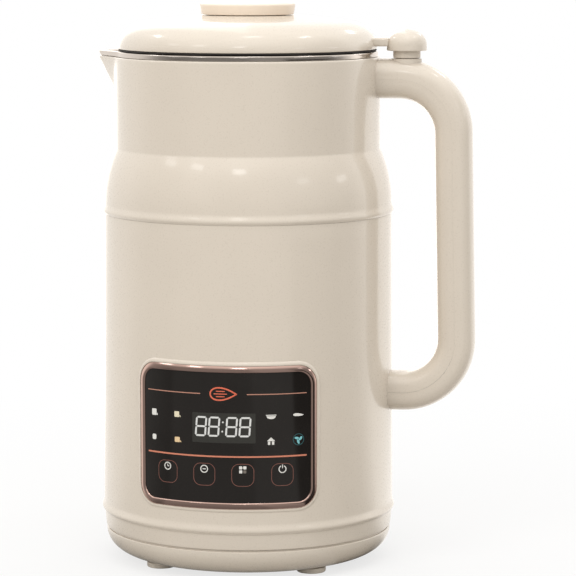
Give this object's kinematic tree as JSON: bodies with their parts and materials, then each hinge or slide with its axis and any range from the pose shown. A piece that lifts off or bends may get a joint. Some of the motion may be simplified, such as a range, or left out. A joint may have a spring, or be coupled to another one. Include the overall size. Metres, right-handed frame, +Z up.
{
  "type": "nut milk maker",
  "caption": "Tall cream jug with a lift-off lid, side handle, steel inner cup over a motor blade, and a black touch panel; it heats and grinds nuts in water into milk.",
  "frame": {"origin": "on the floor under the middle of the bounding box, at z = 0 on the undersides of the four feet", "axes": "+Z up along the jug, +X through the handle, -X through the spout, -Y through the touch panel; the jug's own axis and the motor shaft stand at x = -18.98 mm, y = 0"},
  "size_m": [0.1858, 0.1442, 0.2717],
  "materials": {
    "cream_plastic": "glossy moulded plastic",
    "cream_satin": "satin moulded plastic",
    "knob_plastic": "smooth satin-gloss plastic",
    "cream_rubber": "soft matt rubber",
    "grey_rubber": "dark sealing rubber",
    "clear_silicone": "milky silicone",
    "steel": "brushed and polished stainless steel",
    "rose_gold": "polished rose-gold plating",
    "black_glass": "opaque black glass with a polished face",
    "circuit_board": "lacquered circuit board",
    "black_plastic": "fine matt moulded plastic",
    "white_plastic": "satin food-grade plastic",
    "copper": "bare and lacquered copper",
    "brass": "turned brass",
    "lamination": "stacked motor steel",
    "carbon": "pressed carbon",
    "zinc_steel": "zinc-plated steel"
  },
  "bodies": {
    "jug": {"outer_body": "cream_plastic", "neck_shell": "cream_plastic", "base_shell": "cream_plastic", "handle_outer": "cream_plastic", "handle_inner": "cream_plastic", "coupler_socket": "cream_satin", "foot_front_left": "cream_rubber", "foot_front_right": "cream_rubber", "foot_rear_left": "cream_rubber", "foot_rear_right": "cream_rubber", "damper_ring": "grey_rubber", "shaft_seal": "grey_rubber", "cup_seal_ring": "clear_silicone", "inner_cup": "steel", "heater_ring": "steel", "panel_trim": "rose_gold", "panel_glass": "black_glass", "control_board": "circuit_board", "power_board": "circuit_board", "display_module": "black_plastic", "power_inlet": "black_plastic", "field_coil_left": "copper", "field_coil_right": "copper", "temperature_probe": "brass", "blade_bush": "brass", "bush_nut": "brass", "contact_pin_1": "brass", "contact_pin_2": "brass", "inlet_pin_live": "brass", "inlet_pin_earth": "brass", "inlet_pin_neutral": "brass", "motor_stator": "lamination", "touch_pad_1": "carbon", "touch_pad_2": "carbon", "touch_pad_3": "carbon", "touch_pad_4": "carbon", "brush_front": "carbon", "brush_rear": "carbon", "base_screw_1": "zinc_steel", "base_screw_2": "zinc_steel", "base_screw_3": "zinc_steel", "handle_screw_1": "zinc_steel", "handle_screw_2": "zinc_steel", "thermostat": "zinc_steel", "motor_plate": "zinc_steel", "bearing_top": "zinc_steel", "bearing_bottom": "zinc_steel", "bracket_bottom": "zinc_steel"},
    "rotor": {"motor_shaft": "steel", "rotor_core": "lamination", "commutator": "copper", "cooling_fan": "black_plastic", "blade": "steel", "blade_nut": "steel"},
    "lid": {"lid_shell": "cream_plastic", "lid_liner": "white_plastic", "lid_seal": "grey_rubber", "lid_knob": "knob_plastic", "coupler_plug": "cream_satin", "overflow_probe": "steel"}
  },
  "joints": [
    {"name": "lid_lift", "type": "slide", "parent": "jug", "child": "lid", "axis": [0, 0, 1], "range_m": [0, 0.07]},
    {"name": "blade_spin", "type": "hinge", "parent": "jug", "child": "rotor", "pos_m": [-0.01898, 0, 0], "axis": [0, 0, 1], "continuous": true}
  ]
}
